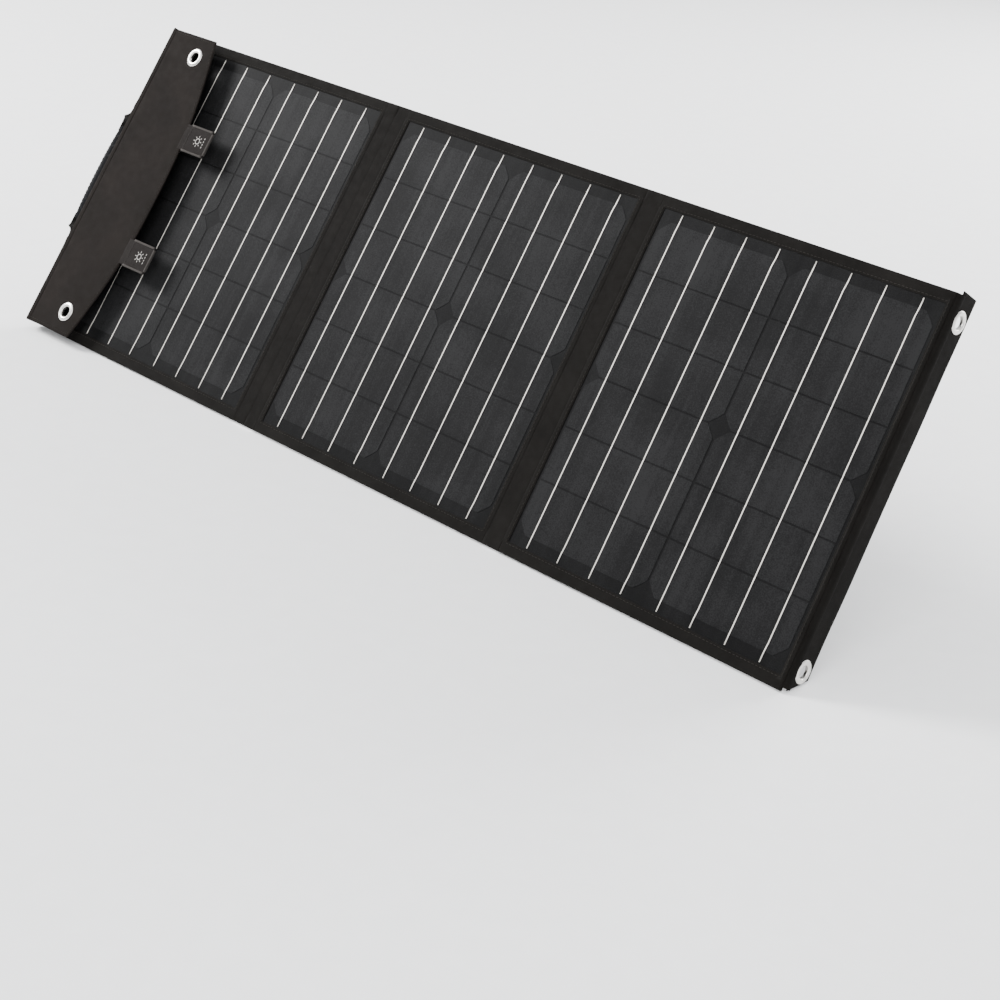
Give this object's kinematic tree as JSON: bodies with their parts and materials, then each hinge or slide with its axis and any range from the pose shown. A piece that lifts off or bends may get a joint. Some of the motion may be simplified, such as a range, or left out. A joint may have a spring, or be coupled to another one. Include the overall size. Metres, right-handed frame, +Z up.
{
  "type": "folding solar blanket",
  "caption": "Folding solar panel blanket with three hinged cell panels, kickstands, a zipped back pocket, a closing flap, eyelets and a carrying handle.",
  "frame": {"origin": "on the floor under the middle of the standing blanket's box", "axes": "+X along the row of panels, from the handle to the end strip; +Y to the back, where the kickstands stand; +Z up"},
  "size_m": [1.1128, 0.2962, 0.3316],
  "materials": {
    "outer_fabric": "woven polyester, matt",
    "webbing": "webbing, matt",
    "stiffener_board": "fibre board",
    "backsheet": "black laminate, satin",
    "solar_cell": "monocrystalline silicon under a satin film",
    "busbar": "tinned ribbon",
    "eyelet_nickel": "bright nickel",
    "steel": "plain",
    "grip_rubber": "moulded, matt",
    "zip_plastic": "nylon",
    "box_plastic": "moulded",
    "circuit_board": "solder mask"
  },
  "bodies": {
    "panel_b": {"b_back_cover": "outer_fabric", "b_board": "stiffener_board", "b_backsheet": "backsheet", "b_cells": "solar_cell", "b_busbars": "busbar", "b_border": "outer_fabric", "b_flap_plates": "steel"},
    "fold_strip": {"fold_strip": "outer_fabric"},
    "panel_a": {"a_back_cover": "outer_fabric", "a_board": "stiffener_board", "a_backsheet": "backsheet", "a_cells": "solar_cell", "a_busbars": "busbar", "a_border": "outer_fabric", "kick_a_anchor": "outer_fabric", "pocket_gusset": "outer_fabric", "pocket_piping": "zip_plastic", "pocket_zip_tape": "zip_plastic", "box_base": "box_plastic", "box_cover": "box_plastic", "box_circuit_board": "circuit_board", "box_usb_ports": "steel", "box_usb_c_port": "steel", "box_dc_socket": "box_plastic", "box_screws": "steel"},
    "panel_c": {"c_back_cover": "outer_fabric", "c_board": "stiffener_board", "c_backsheet": "backsheet", "c_cells": "solar_cell", "c_busbars": "busbar", "c_border": "outer_fabric", "kick_c_anchor": "outer_fabric"},
    "spine": {"spine_board": "stiffener_board", "spine_cover": "outer_fabric", "handle_anchors": "webbing", "handle_rivets": "steel"},
    "handle": {"handle_webbing": "webbing", "handle_grip": "grip_rubber"},
    "flap": {"flap_board": "stiffener_board", "flap_cover": "outer_fabric", "flap_eyelets": "eyelet_nickel", "flap_washers": "steel"},
    "tab_upper": {"tab_upper": "webbing", "tab_upper_magnet": "steel"},
    "tab_lower": {"tab_lower": "webbing", "tab_lower_magnet": "steel"},
    "end_strip": {"end_strip": "outer_fabric", "end_eyelets": "eyelet_nickel", "end_washers": "steel"},
    "kickstand_a": {"kick_a_cover": "outer_fabric", "kick_a_board": "stiffener_board"},
    "kickstand_c": {"kick_c_cover": "outer_fabric", "kick_c_board": "stiffener_board"},
    "pocket_lid": {"lid_shell": "outer_fabric", "lid_piping": "zip_plastic", "lid_zip_tape": "zip_plastic"},
    "zip_slider_left": {"zip_slider_left": "zip_plastic"},
    "zip_pull_left": {"zip_pull_left": "zip_plastic"},
    "zip_slider_right": {"zip_slider_right": "zip_plastic"},
    "zip_pull_right": {"zip_pull_right": "zip_plastic"}
  },
  "joints": [
    {"name": "fold_b_to_strip", "type": "hinge", "parent": "panel_b", "child": "fold_strip", "pos_m": [-0.14981, -0.04071, 0.16281], "axis": [0, 0.5, 0.866], "range_deg": [0, 90]},
    {"name": "fold_strip_to_a", "type": "hinge", "parent": "fold_strip", "child": "panel_a", "pos_m": [-0.15941, -0.04071, 0.16281], "axis": [0, 0.5, 0.866], "range_deg": [0, 90]},
    {"name": "fold_b_to_c", "type": "hinge", "parent": "panel_b", "child": "panel_c", "pos_m": [0.20699, -0.04071, 0.16281], "axis": [0, -0.5, -0.866], "range_deg": [0, 179.9]},
    {"name": "spine_fold", "type": "hinge", "parent": "panel_a", "child": "spine", "pos_m": [-0.51621, -0.04037, 0.16262], "axis": [0, 0.5, 0.866], "range_deg": [-70, 0]},
    {"name": "flap_fold", "type": "hinge", "parent": "spine", "child": "flap", "pos_m": [-0.51931, -0.05587, 0.17156], "axis": [0, 0.5, 0.866], "range_deg": [-90, 0]},
    {"name": "tab_upper_flex", "type": "hinge", "parent": "flap", "child": "tab_upper", "pos_m": [-0.41434, -0.02002, 0.23285], "axis": [0, 0.5, 0.866], "range_deg": [-60, 0]},
    {"name": "tab_lower_flex", "type": "hinge", "parent": "flap", "child": "tab_lower", "pos_m": [-0.41434, -0.09102, 0.10988], "axis": [0, 0.5, 0.866], "range_deg": [-60, 0]},
    {"name": "end_strip_fold", "type": "hinge", "parent": "panel_c", "child": "end_strip", "pos_m": [0.55319, -0.03604, 0.16012], "axis": [0, 0.5, 0.866], "range_deg": [-90, 90]},
    {"name": "kickstand_a_swing", "type": "hinge", "parent": "panel_a", "child": "kickstand_a", "pos_m": [-0.23171, 0.03577, 0.28089], "axis": [-1, 0, 0], "range_deg": [0, 51.59]},
    {"name": "kickstand_c_swing", "type": "hinge", "parent": "panel_c", "child": "kickstand_c", "pos_m": [0.28929, 0.03577, 0.28089], "axis": [-1, 0, 0], "range_deg": [0, 51.59]},
    {"name": "pocket_lid_open", "type": "hinge", "parent": "panel_a", "child": "pocket_lid", "pos_m": [-0.31881, -0.02478, 0.15362], "axis": [0, 0.5, 0.866], "range_deg": [-90, 0]},
    {"name": "handle_swing", "type": "hinge", "parent": "spine", "child": "handle", "pos_m": [-0.52781, -0.04816, 0.16712], "axis": [0, -0.5, -0.866], "range_deg": [-84, 6]},
    {"name": "zip_left_slide", "type": "slide", "parent": "panel_a", "child": "zip_slider_left", "axis": [0, 0.5, 0.866], "range_m": [0, 0.15]},
    {"name": "zip_left_pull_swing", "type": "hinge", "parent": "zip_slider_left", "child": "zip_pull_left", "pos_m": [-0.50641, -0.0376, 0.131], "axis": [0, 0.5, 0.866], "range_deg": [-70, 20]},
    {"name": "zip_right_slide", "type": "slide", "parent": "panel_a", "child": "zip_slider_right", "axis": [0, 0.5, 0.866], "range_m": [-0.08, 0]},
    {"name": "zip_right_pull_swing", "type": "hinge", "parent": "zip_slider_right", "child": "zip_pull_right", "pos_m": [-0.50641, -0.0456, 0.11714], "axis": [0, 0.5, 0.866], "range_deg": [-70, 20]}
  ]
}
